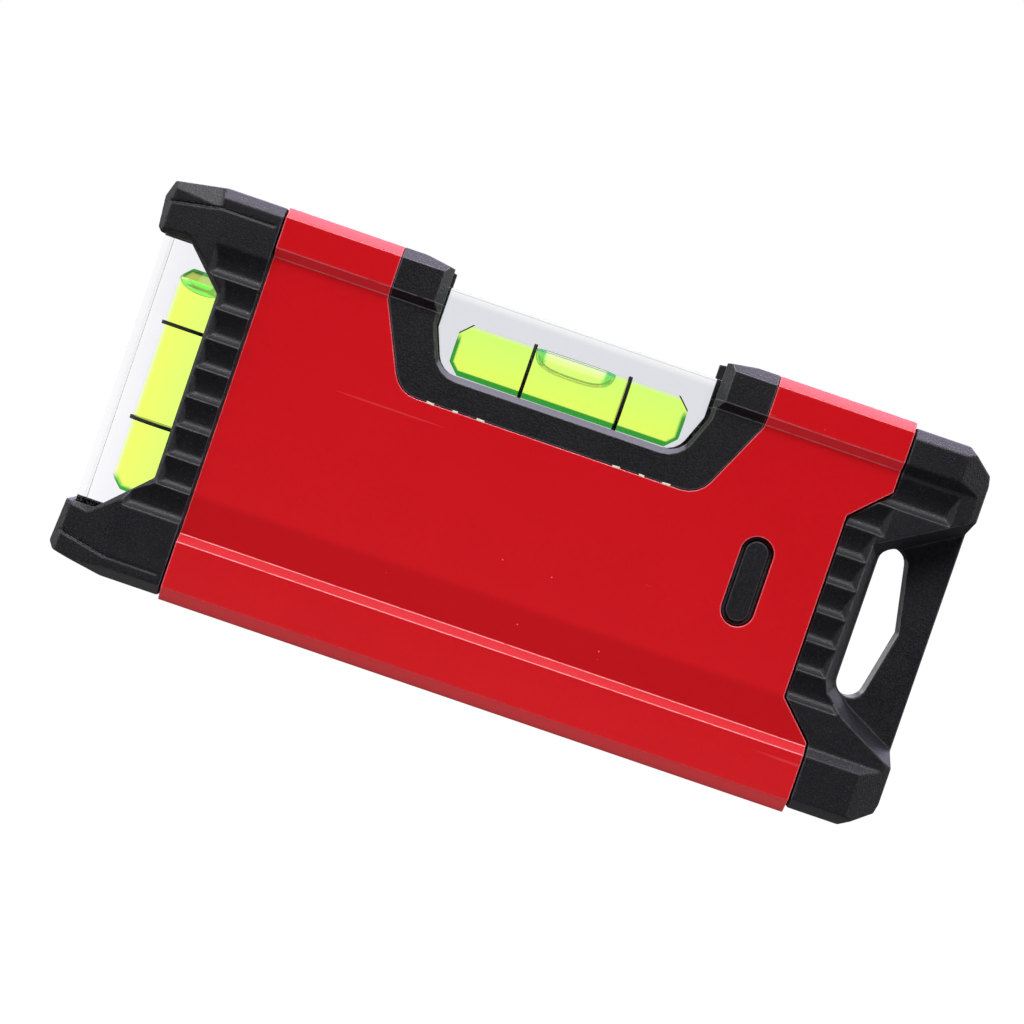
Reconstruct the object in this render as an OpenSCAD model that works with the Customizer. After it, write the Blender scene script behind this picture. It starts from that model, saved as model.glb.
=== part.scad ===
// Compact box-section spirit level with a level vial and a plumb vial.
// Length runs along X, the reading face looks along -Y, and +Z is up.
// The origin is the centre of the base face, at half the overall length.

/* [Overall] */
// Length over both end caps
overall_l = 150; // [148:1:154]
// Height of the body, from its base to its top edge
overall_h = 71; // [70.5:0.5:73]
// Thickness over the rails
overall_t = 25; // [25:0.5:27]

/* [Body] */
// Wall of the box section
wall_t = 1.8; // [1.5:0.1:2.0]
// Depth of the web below the rails
web_step = 1.5; // [1.2:0.1:1.6]
// Height of the base rail, up to its bevel
base_rail_h = 10.6; // [10.2:0.1:11]
// Height of the top rail, down to its bevel
top_rail_h = 7.3; // [7:0.1:7.6]
// Chamfer along the base edges
base_chamfer = 2.4; // [2:0.1:2.6]
// Chamfer along the top edges
top_chamfer = 1.8; // [1.4:0.1:2]
// Shadow gap between the body and the plastic parts
seam_gap = 0.35; // [0.2:0.05:0.5]

/* [Plumb end cap] */
// Length of the cap outside the body
plumb_cap_l = 21; // [20.8:0.1:21.5]
// Distance from the body to the vial window's edge
plumb_column_w = 7.1; // [6.9:0.1:7.3]
// Height of the vial window
plumb_window_h = 48.4; // [48:0.1:49]
// Height of the window's lower edge
plumb_window_z = 11.5; // [11.3:0.1:11.7]

/* [Hang end cap] */
// Length of the cap outside the body
hang_cap_l = 15.3; // [15:0.1:15.6]
// How far the grip column reaches into the web
hang_notch_d = 6.3; // [6:0.1:6.5]
// Thickness of the thin hanging web
hang_web_t = 6; // [5:0.5:7]
// Draft of the recess walls, in degrees
recess_draft = 15.5; // [14:0.5:18]
// Radius of the hanging hole's ends
hang_hole_r = 2.7; // [2.4:0.1:2.8]

/* [Grip ridges] */
// Spacing of the ridges
ridge_pitch = 5.28; // [5.2:0.01:5.3]
// Depth of each scallop
ridge_depth = 1.1; // [0.7:0.1:1.2]
// Number of ridges on the plumb end cap
plumb_ridges = 9; // [7:1:9]
// Number of ridges on the hang end cap
hang_ridges = 8; // [6:1:8]

/* [Vial bezels] */
// Width of the bezel at the top edge
bezel_w = 67.9; // [67:0.1:68.5]
// Height of the bezel's lower edge
bezel_z = 47.1; // [46.8:0.1:47.3]
// Width of the vial window
window_w = 48.5; // [48:0.1:49]
// Height of the vial window's lower edge
window_z = 53.7; // [53.4:0.1:54]
// Place of the bezel's centre along the length
bezel_x = 0.9; // [0:0.1:2]

/* [Vials] */
// Radius of the chambers at their ends
chamber_r = 4.75; // [4.5:0.05:4.75]
// Extra radius at the middle of the barrel-shaped chambers
barrel_rise = 0.1; // [0.05:0.05:0.1]
// Length of the chambers, from blind end to plug
chamber_l = 42.2; // [41:0.1:42.5]
// Chamfer at both ends of the chambers
chamber_chamfer = 1.9; // [1.5:0.1:2.2]
// Thickness of the acrylic blocks
block_t = 20; // [19:0.1:20]
// Length of the acrylic blocks
block_l = 53; // [52.6:0.1:53]
// Spacing of the reading lines
line_spacing = 17.4; // [16.5:0.1:18]
// Width of a reading line
line_w = 0.65; // [0.4:0.05:0.8]
// Length of the level vial's bubble
bubble_l = 14.5; // [13:0.1:15]
// Height of the level vial's bubble
bubble_h = 3.8; // [3:0.1:3.8]
// Height of the plumb vial's bubble
plumb_bubble_h = 4; // [3:0.1:4.5]

/* [Lock key] */
// Length of the slot in the web
key_slot_l = 16; // [15:0.5:17]
// Width of the slot in the web
key_slot_w = 5.8; // [5.4:0.1:6.2]
// Distance from the body's end to the slot
key_inset = 18.75; // [18:0.25:19.5]
// Height of the slot's centre
key_z = 35.7; // [34:0.1:37]

/* [Base magnets] */
// Diameter of a base magnet
magnet_d = 10; // [8:0.5:10]
// Height of a base magnet
magnet_h = 5; // [4:0.5:5]
// Spacing of the base magnets
magnet_pitch = 28; // [24:1:30]

/* [Hidden] */
$fn = 48;
big = 200;
slip = 0.1;
over = 1;
half_t = overall_t / 2;
web_y = half_t - web_step;
mitre = sqrt(2) - 1;
base_bevel_z = base_rail_h;
top_bevel_z = overall_h - top_rail_h;
body_x0 = plumb_cap_l - overall_l / 2;
body_x1 = overall_l / 2 - hang_cap_l;

// Plumb end cap
cap_top_z = overall_h - 0.3;
cap_base_z = 0.6;
cap_base_slant = 0.6;
plumb_x0 = -overall_l / 2;
plumb_seam_x = body_x0 - seam_gap;
plumb_crease_x = body_x0 - 10.8;
plumb_taper = 8;
plumb_end_chamfer = 1.6;
plumb_edge_x = body_x0 - plumb_column_w;
plumb_window_top_z = plumb_window_z + plumb_window_h;
plumb_corner = 7;
plumb_sill = 1.2;
plumb_rim_d = 2;
plumb_rim_draft = 40;
horn_top_tip = [plumb_x0 + 1.1, cap_top_z - 1.6];
horn_top_nose = 3;
horn_base_tip = [plumb_x0 + 1, cap_base_z + 1.8];
horn_base_nose = 1.2;
horn_lean = 0.6;
horn_nick = 0.8;
horn_facet_h = 3.6;
horn_facet_fall = 10;
horn_facet_lean = 28;
horn_groove_drop = 3.4;
horn_groove_w = 0.45;
horn_groove_inset = 1.2;

// Hang end cap
hang_x1 = overall_l / 2;
hang_top_z = overall_h - 0.9;
hang_base_z = 1.1;
hang_crease_x = body_x1 + 10.1;
hang_base_crease_x = hang_crease_x - 0.5;
hang_taper = 21.5;
hang_nose = [0.4, 3.8];
hang_nose_z = 5.6;
notch_top_z = overall_h - 12.7;
notch_base_z = 12.7;
notch_x = body_x1 - hang_notch_d;
recess_x = body_x1 - 0.3;
// Walls of the recess, each by a point on it at the web's depth and the way it faces, in degrees
recess_walls = [
  [[recess_x, 0], 0],
  [[recess_x + 0.7, notch_base_z + 9.2], 20],
  [[recess_x + 4.9, notch_base_z + 5.9], 52],
  [[hang_x1 - 2.4, notch_base_z + 1.6], 62.6],
  [[hang_x1 - 4.2, notch_top_z - 2.7], -59]];
hole_x = body_x1 + 2.3;
hole_top_z = overall_h - 21.7;
hole_base_z = 22.1;
hole_mid_z = 35.4;
hole_w = 5.8;
hole_bulge = 1.9;
hole_steps = 10;

// Grip ridges, and how much further the first and the last of a column reach
ridge_top_z = overall_h - 15.15;
ridge_rise = 0.25;
ridge_overlap = 0.03;
ridge_steps = 12;
plumb_ridge_x = plumb_edge_x + 0.5;
plumb_ridge_more = [-3.2, -4.4];
hang_ridge_x = recess_x - 0.1;
hang_ridge_more = [11.6, 1.4, 3.8];

// Vial chambers
level_z = overall_h - 13.3;
level_mid_x = bezel_x + 0.2;
level_x0 = level_mid_x - chamber_l / 2;
level_block_x0 = bezel_x - block_l / 2;
level_block_z0 = level_z - 7.7;
level_block_z1 = overall_h - 4;
ear_l = 1.2;
ear_z0 = level_block_z0 + 1.2;
ear_h = 6;
block_clear = 0.1;
seat_t = 1;
plumb_x = body_x0 - 10.55;
plumb_z0 = 14.5;
plumb_block_w = 16.9;
plumb_block_x0 = plumb_x - plumb_block_w / 2;
plumb_block_z0 = plumb_z0 - 5;
groove_r = chamber_r + 0.3;
mark_clear = 0.02;
plug_inset = 0.2;
fill_clear = 0.1;
line_offset = (block_l - chamber_l) / 2 - 4.3;
channel_clear = 0.1;
bubble_r = chamber_r - 0.15;
plumb_bubble_r = 3.4;
plumb_bubble_edge = 0.8;
plumb_bubble_side = 0.6;

// Bezel
slope_z = top_bevel_z - 2;
bezel_slope = 0.47;
bezel_corner_r = 5;
window_slope_z = slope_z - 1.4;
window_slope = 0.39;
window_corner_r = 3.4;
corner_steps = 4;
bezel_bottom_w = bezel_w - 2 * bezel_slope * (slope_z - bezel_z);
window_bottom_w = window_w - 2 * window_slope * (window_slope_z - window_z);
rim_draft = 33.7;
sill_draft = 52;
rim_y = web_y - 1.5;
flange_w = 2;
flange_drop = 1;
pin_r = 1.4;
pin_l = 5;
pin_sink = 4;
pin_tip_gap = 0.5;
pin_inset = 3.3;
pin_zs = [overall_h - 4.5, overall_h - 10.5];
part_gap = 0.05;
post_w = 12;
post_flat = 4;
post_slope = 9;

// Lock key
key_x = body_x1 - key_inset;
key_gap = 0.8;
tongue_t = 2;
tongue_w = key_slot_l + 5;
tongue_lap = 1;
boss_sink = 1.2;
boss_clear = 0.15;
key_recess = 0.6;

// Retainer and its screws
plug_l = 12;
plug_wall = 2.2;
cap_floor = 1.7;
retainer_t = 1.7;
retainer_floor = 1.5;
screw_r = 1.2;
screw_head_r = 2.2;
screw_l = 9;
screw_tip_gap = 1;
screw_head_h = 1.6;
screw_slot_w = 0.6;
screw_slot_d = 0.8;
screw_zs = [6.6, overall_h - 6.6];

// Magnets
magnet_n = 3;
magnet_z0 = 0.2;
tray_h = 5.4;
tray_w = 17.6;
tray_end = 8;

// ---------------------------------------------------------------- helpers
// Extrudes an (x, z) outline along Y, from y0 to y1.
module prism_y(y0, y1)
  translate([0, y1, 0]) rotate([90, 0, 0]) linear_extrude(y1 - y0) children();

// Extrudes a (y, z) section along X, from x0 to x1.
module prism_x(x0, x1)
  translate([x0, 0, 0]) rotate([90, 0, 90]) linear_extrude(x1 - x0) children();

// Extrudes an (x, y) plan along Z, from z0 to z1.
module prism_z(z0, z1)
  translate([0, 0, z0]) linear_extrude(z1 - z0) children();

// Extrudes an (x, z) outline through the whole thickness, past both faces.
module through_y()
  prism_y(-half_t - over, half_t + over) children();

// Places its children in front and mirrors them to the rear.
module both_faces() {
  children();
  mirror([0, 1, 0]) children();
}

// Half space behind a drafted wall. The wall holds the line through p = [x, z] at depth y,
// faces the direction at angle dir in the XZ plane, and leans inwards by draft as y grows.
module half_space(p, y, dir, draft)
  translate([p[0], y, p[1]])
    rotate([0, -dir, 0])
      rotate([0, 0, -draft])
        translate([0, -big, -big])
          cube([2 * big, 2 * big, 2 * big]);

// Upright slot with round ends, as an (x, z) outline.
module upright_slot(l, w) {
  square([w, l - w], center = true);
  for (side = [-1, 1])
    translate([0, side * (l - w) / 2])
      circle(d = w);
}

// Points of an arc, from angle a0 to a1 in n steps.
function arc(c, r, a0, a1, n) =
  [for (i = [0:n]) let (a = a0 + (a1 - a0) * i / n) [c[0] + r * cos(a), c[1] + r * sin(a)]];

// One side of the box section, inset by w from the outside.
function section_side(w) = [
  [half_t - base_chamfer - mitre * w, w],
  [half_t - w, base_chamfer + mitre * w],
  [half_t - w, base_bevel_z - mitre * w],
  [web_y - w, base_bevel_z + web_step - mitre * w],
  [web_y - w, top_bevel_z - web_step + mitre * w],
  [half_t - w, top_bevel_z + mitre * w],
  [half_t - w, overall_h - top_chamfer - mitre * w],
  [half_t - top_chamfer - mitre * w, overall_h - w]];

// Points mirrored from right to left, or from rear to front, in reverse order.
function flip(points) = [for (i = [len(points) - 1:-1:0]) [-points[i][0], points[i][1]]];
function flip_y(points) = [for (i = [len(points) - 1:-1:0]) [points[i][0], -points[i][1]]];

module box_section(w) {
  side = section_side(w);
  polygon(concat(side, flip(side)));
}

// Hollow of a plug that fits inside the box section.
module plug_hollow(x0, x1) {
  inset = wall_t + slip + plug_wall;
  translate([x0, inset - web_y, inset])
    cube([x1 - x0, 2 * (web_y - inset), overall_h - 2 * inset]);
}

// ---------------------------------------------------------------- body
// Cut in the web for the hang end cap's grip column.
module notch_outline() {
  polygon([
    [body_x1 + over, notch_top_z],
    [body_x1, notch_top_z],
    [notch_x, notch_top_z - hang_notch_d],
    [notch_x, notch_base_z + hang_notch_d],
    [body_x1, notch_base_z],
    [body_x1 + over, notch_base_z]]);
}

function magnet_xs() = [for (i = [0:magnet_n - 1]) (i - (magnet_n - 1) / 2) * magnet_pitch];

module box_body() {
  color("crimson")
    difference() {
      prism_x(body_x0, body_x1) box_section(0);
      prism_x(body_x0 - over, body_x1 + over) box_section(wall_t);
      through_y() bezel_outline(slip);
      through_y() notch_outline();
      translate([key_x, 0, key_z])
        through_y() upright_slot(key_slot_l, key_slot_w);
      for (x = magnet_xs())
        translate([x, 0, -over])
          cylinder(r = magnet_d / 2 + slip, h = wall_t + 2 * over);
    }
}

// ---------------------------------------------------------------- grip ridges
// Depth of a scallop at t of its height, from its lower crest at 0 to its upper crest at 1.
function scallop(t) = ridge_depth * (t < ridge_rise
  ? sin(90 * t / ridge_rise)
  : cos(90 * (t - ridge_rise) / (1 - ridge_rise)));

// One scallop between x0 and x1, with slanting ends. It overlaps its neighbours a little.
module ridge_cut(x0, x1, z, y) {
  low_z = z - ridge_overlap;
  height = ridge_pitch + 2 * ridge_overlap;
  profile = [for (i = [0:ridge_steps]) [scallop(i / ridge_steps) - y, low_z + height * i / ridge_steps]];
  both_faces()
    intersection() {
      prism_x(x0 - over, x1 + over)
        polygon(concat([[-y - over, low_z]], profile, [[-y - over, low_z + height]]));
      prism_z(z - over, z + ridge_pitch + over)
        polygon([
          [x0 - over, -y - over],
          [x0 + ridge_depth, -y + ridge_depth],
          [x1 - ridge_depth, -y + ridge_depth],
          [x1 + over, -y - over]]);
    }
}

// Extra reach of ridge i out of n, from the reaches of the first ones and of the last one.
function more_reach(i, n, more) =
  let (firsts = len(more) - 1)
  i < firsts ? more[i] : i == n - 1 ? more[firsts] : 0;

// ---------------------------------------------------------------- plumb end cap
// Outline of the cap: two horns around a window that is open at the end.
module plumb_outline() {
  polygon([
    [plumb_seam_x, cap_top_z],
    [plumb_crease_x, cap_top_z],
    horn_top_tip,
    [plumb_x0, horn_top_tip[1] - horn_top_nose],
    [plumb_x0 + horn_lean, plumb_window_top_z + horn_nick],
    [plumb_x0 + horn_lean + horn_nick, plumb_window_top_z],
    [plumb_edge_x - plumb_corner, plumb_window_top_z],
    [plumb_edge_x, plumb_window_top_z - plumb_corner],
    [plumb_edge_x, plumb_window_z + plumb_corner + plumb_sill],
    [plumb_edge_x - plumb_corner, plumb_window_z + plumb_sill],
    [plumb_edge_x - plumb_corner - plumb_sill, plumb_window_z],
    [plumb_x0 + horn_lean, plumb_window_z],
    [plumb_x0, horn_base_tip[1] + horn_base_nose],
    horn_base_tip,
    [plumb_crease_x, cap_base_z],
    [plumb_seam_x, cap_base_z]]);
}

// Plan of the cap: flat up to the crease, then tapering towards the end. Inset thins it.
module plumb_plan(inset) {
  face_y = half_t - inset;
  end_y = face_y - (plumb_crease_x - plumb_x0) * tan(plumb_taper);
  side = [
    [body_x0, face_y],
    [plumb_crease_x, face_y],
    [plumb_x0 + plumb_end_chamfer, end_y + plumb_end_chamfer * tan(plumb_taper)],
    [plumb_x0, end_y - plumb_end_chamfer]];
  polygon(concat(side, flip_y(side)));
}

// Section of the cap: chamfered along its top and base.
module plumb_section() {
  side = [
    [half_t - top_chamfer - cap_base_slant, cap_base_z],
    [half_t, cap_base_z + top_chamfer],
    [half_t, cap_top_z - top_chamfer],
    [half_t - top_chamfer, cap_top_z]];
  polygon(concat(side, flip(side)));
}

// Facet over the sloping part of the horn's top, deeper than the chamfer.
module horn_facet() {
  both_faces()
    translate([plumb_crease_x, -half_t, cap_top_z - horn_facet_h])
      rotate([0, -horn_facet_fall, 0])
        rotate([-horn_facet_lean, 0, 0])
          translate([-big, -big, 0])
            cube([big, big, big]);
}

// Band of height w at a distance from an edge line of the horn, as an (x, z) outline.
module groove_band(line, drop, w)
  polygon(concat(
    [for (p = line) p + [0, drop]],
    [for (i = [len(line) - 1:-1:0]) line[i] + [0, drop + w]]));

// Shallow groove that follows the horns' outer edges, at one depth below the faces.
module horn_groove() {
  drop = horn_groove_drop;
  w = horn_groove_w;
  start_x = body_x0 - horn_groove_inset;
  difference() {
    through_y() {
      groove_band([[start_x, cap_top_z], [plumb_crease_x, cap_top_z], horn_top_tip], -drop, -w);
      groove_band([[start_x, cap_base_z], [plumb_crease_x, cap_base_z], horn_base_tip], drop, w);
    }
    prism_z(0, overall_h) plumb_plan(w);
  }
}

// Softened rim round the vial window, cut on both faces.
module plumb_rim() {
  corner_x = plumb_edge_x - plumb_corner;
  side_y = -half_t + plumb_rim_d / 2;
  horn_y = -half_t + plumb_rim_d;
  both_faces()
    intersection() {
      half_space([plumb_edge_x, 0], side_y, 180, plumb_rim_draft);
      half_space([0, plumb_window_top_z], horn_y, -90, plumb_rim_draft);
      half_space([0, plumb_window_z], horn_y, 90, plumb_rim_draft);
      half_space([corner_x, plumb_window_top_z], side_y, -135, plumb_rim_draft);
      half_space([corner_x, plumb_window_z + plumb_sill], side_y, 135, plumb_rim_draft);
      translate([-big, -big, 0])
        cube([2 * big, 2 * big, big]);
    }
}

// Pocket that the plumb vial's block slides into from the body side.
module plumb_pocket() {
  translate([plumb_block_x0 - slip, -block_t / 2 - slip, plumb_block_z0 - slip])
    cube([big, block_t + 2 * slip, block_l + 2 * slip]);
}

module plumb_end_cap() {
  color("dimgray")
    difference() {
      intersection() {
        prism_y(-half_t, half_t) plumb_outline();
        prism_x(plumb_x0 - over, body_x0) plumb_section();
        prism_z(0, overall_h) plumb_plan(0);
      }
      horn_facet();
      horn_groove();
      plumb_rim();
      plumb_pocket();
      for (i = [0:plumb_ridges - 1])
        ridge_cut(
          plumb_ridge_x + more_reach(i, plumb_ridges, plumb_ridge_more),
          body_x0 + ridge_depth,
          ridge_top_z - i * ridge_pitch,
          half_t);
      for (z = screw_zs)
        translate([body_x0 - screw_l + retainer_t, 0, z])
          rotate([0, 90, 0])
            cylinder(r = screw_r + slip / 2, h = screw_l);
    }
}

// Inner plug: a plate behind the vial block and a ring that fits the body.
module plumb_vial_retainer() {
  ring = wall_t + slip;
  color("slategray")
    difference() {
      union() {
        prism_x(body_x0 - seam_gap + slip, body_x0 + plug_l) box_section(ring);
        translate([body_x0 - retainer_t - seam_gap, -block_t / 2, plumb_block_z0])
          cube([retainer_t + seam_gap - slip, block_t, block_l]);
      }
      plug_hollow(body_x0 + retainer_floor, body_x0 + plug_l + over);
      for (z = screw_zs)
        translate([body_x0 - retainer_t - over, 0, z])
          rotate([0, 90, 0])
            cylinder(r = screw_r + slip, h = retainer_t + retainer_floor + 2 * over);
    }
}

// Two pan-head screws that hold the retainer in the cap.
module retainer_screws() {
  color("silver")
    for (z = screw_zs)
      translate([body_x0 + retainer_floor + slip, 0, z])
        rotate([0, -90, 0]) {
          cylinder(r = screw_r, h = screw_l - screw_tip_gap);
          difference() {
            translate([0, 0, -screw_head_h]) cylinder(r = screw_head_r, h = screw_head_h);
            for (turn = [0, 90])
              rotate([0, 0, turn])
                translate([-screw_r, -screw_slot_w / 2, -screw_head_h - over])
                  cube([2 * screw_r, screw_slot_w, screw_slot_d + over]);
          }
        }
}

// ---------------------------------------------------------------- hang end cap
// Outline of the cap, with the grip column that fills the body's notch.
module hang_outline() {
  step = seam_gap * mitre;
  polygon([
    [body_x1 + seam_gap, hang_top_z],
    [hang_crease_x, hang_top_z],
    [hang_x1 - hang_nose[0], hang_top_z - hang_nose[1]],
    [hang_x1, hang_top_z - hang_nose_z],
    [hang_x1, hang_base_z + hang_nose_z],
    [hang_x1 - hang_nose[0], hang_base_z + hang_nose[1]],
    [hang_base_crease_x, hang_base_z],
    [body_x1 + seam_gap, hang_base_z],
    [body_x1 + seam_gap, notch_base_z + step],
    [notch_x + seam_gap, notch_base_z + hang_notch_d + step],
    [notch_x + seam_gap, notch_top_z - hang_notch_d - step],
    [body_x1 + seam_gap, notch_top_z - step]]);
}

module hang_section() {
  side = section_side(0);
  top = hang_top_z;
  low = hang_base_z;
  points = [
    [half_t - top_chamfer, low],
    [half_t, low + top_chamfer],
    side[2], side[3], side[4], side[5],
    [half_t, top - top_chamfer],
    [half_t - top_chamfer, top]];
  polygon(concat(points, flip(points)));
}

// Plan of the cap: flat up to the crease, then tapering towards the end.
module hang_plan() {
  end_x = hang_x1 + over;
  side = [
    [notch_x, half_t],
    [hang_crease_x, half_t],
    [end_x, half_t - (end_x - hang_crease_x) * tan(hang_taper)]];
  polygon(concat(side, flip_y(side)));
}

// Recess with drafted walls, down to the thin web.
module hang_recess() {
  both_faces()
    intersection() {
      intersection_for(wall = recess_walls) half_space(wall[0], -web_y, wall[1], recess_draft);
      translate([0, -half_t - over, 0])
        cube([big, half_t + over - hang_web_t / 2, overall_h]);
    }
}

// Angle at which the line from point p touches the circle round c. Side is 1 or -1.
function touch(c, r, p, side) =
  let (d = p - c)
  atan2(d[1], d[0]) + side * acos(r / norm(d));

// Hanging hole: straight towards the body, bowed out towards the end.
module hang_hole_outline() {
  r = hang_hole_r;
  top_c = [hole_x + r, hole_top_z - r];
  low_c = [hole_x + r, hole_base_z + r];
  bow = [hole_x + hole_w + hole_bulge, hole_mid_z];
  polygon(concat(
    arc(top_c, r, 180, touch(top_c, r, bow, 1), hole_steps),
    [bow],
    arc(low_c, r, touch(low_c, r, bow, -1), -180, hole_steps)));
}

// Tongue behind one web, with a boss that sits in the web's slot.
module lock_tongue() {
  inner_y = web_y - wall_t - 2 * slip;
  x0 = key_x - key_slot_w;
  x1 = body_x1 - plug_l + tongue_lap;
  translate([x0, inner_y - tongue_t, key_z - tongue_w / 2])
    cube([x1 - x0, tongue_t, tongue_w]);
  translate([key_x, 0, key_z])
    prism_y(inner_y - tongue_t / 2, web_y - boss_sink)
      upright_slot(key_slot_l - 2 * boss_clear, key_slot_w - 2 * boss_clear);
}

module hang_end_cap() {
  ring = wall_t + slip;
  color("dimgray")
    difference() {
      union() {
        intersection() {
          through_y() hang_outline();
          prism_x(notch_x, hang_x1 + over) hang_section();
          prism_z(0, overall_h) hang_plan();
        }
        difference() {
          prism_x(body_x1 - plug_l, body_x1 + seam_gap + slip) box_section(ring);
          plug_hollow(body_x1 - plug_l - over, body_x1 - cap_floor);
        }
        both_faces() lock_tongue();
      }
      hang_recess();
      prism_y(-half_t, half_t) hang_hole_outline();
      for (i = [0:hang_ridges - 1])
        ridge_cut(
          notch_x - ridge_depth,
          hang_ridge_x + more_reach(i, hang_ridges, hang_ridge_more),
          ridge_top_z - i * ridge_pitch,
          web_y);
      translate([key_x, 0, key_z])
        prism_y(-half_t, half_t)
          upright_slot(key_slot_l - 2 * key_gap + 2 * slip, key_slot_w - 2 * key_gap + 2 * slip);
    }
}

// Cross key through both tongues. It shows in the slots of both webs.
module lock_key() {
  color("black")
    translate([key_x, 0, key_z])
      prism_y(-web_y + key_recess, web_y - key_recess)
        upright_slot(key_slot_l - 2 * key_gap, key_slot_w - 2 * key_gap);
}

// ---------------------------------------------------------------- bezels
// Outline that is wide at the top and narrows to a rounded lower edge.
function tapered(top_w, low_w, bend_z, low_z, r, gap) =
  let (
    hw = top_w / 2 + gap,
    lw = low_w / 2 + gap,
    lean = atan2(hw - lw, bend_z - low_z),
    c = [lw - r * tan(45 - lean / 2), low_z - gap + r])
  concat([[hw, overall_h + over], [hw, bend_z]], arc(c, r, -lean, -90, corner_steps));

module tapered_outline(points) translate([bezel_x, 0]) polygon(concat(points, flip(points)));

module bezel_outline(gap)
  tapered_outline(tapered(bezel_w, bezel_bottom_w, slope_z, bezel_z, bezel_corner_r, gap));

function window_points() =
  tapered(window_w, window_bottom_w, window_slope_z, window_z, window_corner_r, 0);

// Drafted walls through one stretch of the window's edge and through its mirror image.
module edge_pair(p, q, draft) {
  dir = atan2(p[0] - q[0], q[1] - p[1]);
  translate([bezel_x, 0, 0])
    intersection() {
      half_space(p, -rim_y, dir, draft);
      mirror([1, 0, 0]) half_space(p, -rim_y, dir, draft);
    }
}

// Draft along stretch i of the window's edge: it grows through the corner, up to the sill's.
function edge_draft(i) = rim_draft + (sill_draft - rim_draft) * max(0, i - 1.5) / corner_steps;

// Chamfer round the window, one drafted wall for each straight stretch of its edge.
module window_rim() {
  p = window_points();
  intersection_for(i = [0:len(p) - 2]) edge_pair(p[i], p[i + 1], edge_draft(i));
}

// Behind the web, a flange keeps the bezel from being pushed out.
module bezel_flange() {
  intersection() {
    prism_y(-web_y + wall_t + slip, -part_gap)
      tapered_outline(tapered(bezel_w, bezel_bottom_w, slope_z, bezel_z, bezel_corner_r, flange_w));
    translate([bezel_x - bezel_w / 2, -big, 0])
      cube([bezel_w, 2 * big, slope_z - flange_drop]);
  }
}

// Space for the level vial's block and its seat.
module level_block_room(clear) {
  translate([level_block_x0 - clear, -block_t / 2 - clear, level_block_z0 - clear])
    cube([block_l + 2 * clear, block_t + 2 * clear, level_block_z1 - level_block_z0 + big * sign(clear)]);
  translate([level_block_x0 - ear_l - clear, -block_t / 2 - clear, ear_z0 - clear])
    cube([block_l + 2 * (ear_l + clear), block_t + 2 * clear, ear_h + 2 * clear]);
}

module bezel_half() {
  p = window_points();
  difference() {
    union() {
      intersection() {
        prism_y(-half_t, -part_gap) bezel_outline(0);
        prism_x(-overall_l, overall_l) box_section(0);
      }
      bezel_flange();
    }
    through_y() tapered_outline(p);
    intersection() {
      window_rim();
      half_space([0, window_z], -rim_y, 90, sill_draft);
    }
    level_block_room(block_clear);
    translate([level_block_x0, -block_t / 2, level_block_z0 - seat_t])
      cube([block_l, block_t, seat_t]);
    for (side = [-1, 1])
      translate([bezel_x + side * (bezel_w / 2 - post_flat), 0, overall_h])
        rotate([0, side * -post_slope, 0])
          translate([side > 0 ? -post_w : 0, -big, 0])
            cube([post_w, 2 * big, post_w]);
  }
}

module pin_places()
  for (side = [-1, 1], z = pin_zs)
    translate([bezel_x + side * (bezel_w / 2 - pin_inset), 0, z])
      rotate([90, 0, 0])
        children();

module front_vial_bezel() {
  color("black") {
    bezel_half();
    pin_places() translate([0, 0, -pin_sink]) cylinder(r = pin_r, h = pin_l);
  }
}

module rear_vial_bezel() {
  color("black")
    difference() {
      mirror([0, 1, 0]) bezel_half();
      pin_places() translate([0, 0, -pin_sink - pin_tip_gap]) cylinder(r = pin_r + part_gap, h = pin_l);
    }
}

// Adhesive strip that beds the level vial's block.
module level_vial_seat() {
  color("gray")
    translate([level_block_x0 + slip, -block_t / 2 + slip, level_block_z0 - seat_t + part_gap])
      cube([block_l - 2 * slip, block_t - 2 * slip, seat_t - 2 * part_gap]);
}

// ---------------------------------------------------------------- vials
// A chamber's axis is its local Z. Its blind end is at 0 and its mouth is at the block's end.
barrel_n = 8;
function barrel_r(t) = chamber_r + barrel_rise * (1 - pow(2 * t - 1, 2));

module chamber(mouth) {
  rotate_extrude($fn = 64)
    polygon(concat(
      [[0, 0], [chamber_r - chamber_chamfer, 0]],
      [for (i = [0:barrel_n])
        let (t = i / barrel_n)
        [barrel_r(t), chamber_chamfer + t * (chamber_l - 2 * chamber_chamfer)]],
      [[chamber_r, mouth], [0, mouth]]));
  for (side = [-1, 1])
    translate([0, 0, line_z(side) - line_w / 2 - mark_clear])
      cylinder(r = groove_r, h = line_w + 2 * mark_clear);
}

function line_z(side) = chamber_l / 2 + line_offset + side * line_spacing / 2;

// Plug with a dished inner end, so that both ends of the chamber are chamfered.
module plug(mouth) {
  r = chamber_r - part_gap;
  rotate_extrude($fn = 64)
    polygon([
      [0, chamber_l],
      [chamber_r - chamber_chamfer, chamber_l],
      [r, chamber_l - chamber_chamfer + 2 * part_gap],
      [r, mouth - plug_inset],
      [0, mouth - plug_inset]]);
}

// Reading lines: two thin rings set flush in the chamber's wall.
module marks() {
  for (side = [-1, 1])
    translate([0, 0, line_z(side) - line_w / 2])
      difference() {
        cylinder(r = groove_r - mark_clear, h = line_w);
        translate([0, 0, -over])
          cylinder(r = chamber_r + barrel_rise + mark_clear, h = line_w + 2 * over);
      }
}

// Fluid's outer form: the chamber, less a thin clearance.
module fluid_form() {
  r = chamber_r - fill_clear;
  c = chamber_chamfer;
  rotate_extrude($fn = 64)
    polygon([
      [0, fill_clear],
      [r - c, fill_clear],
      [r, fill_clear + c],
      [r, chamber_l - c - fill_clear],
      [r - c, chamber_l - fill_clear],
      [0, chamber_l - fill_clear]]);
}

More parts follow.
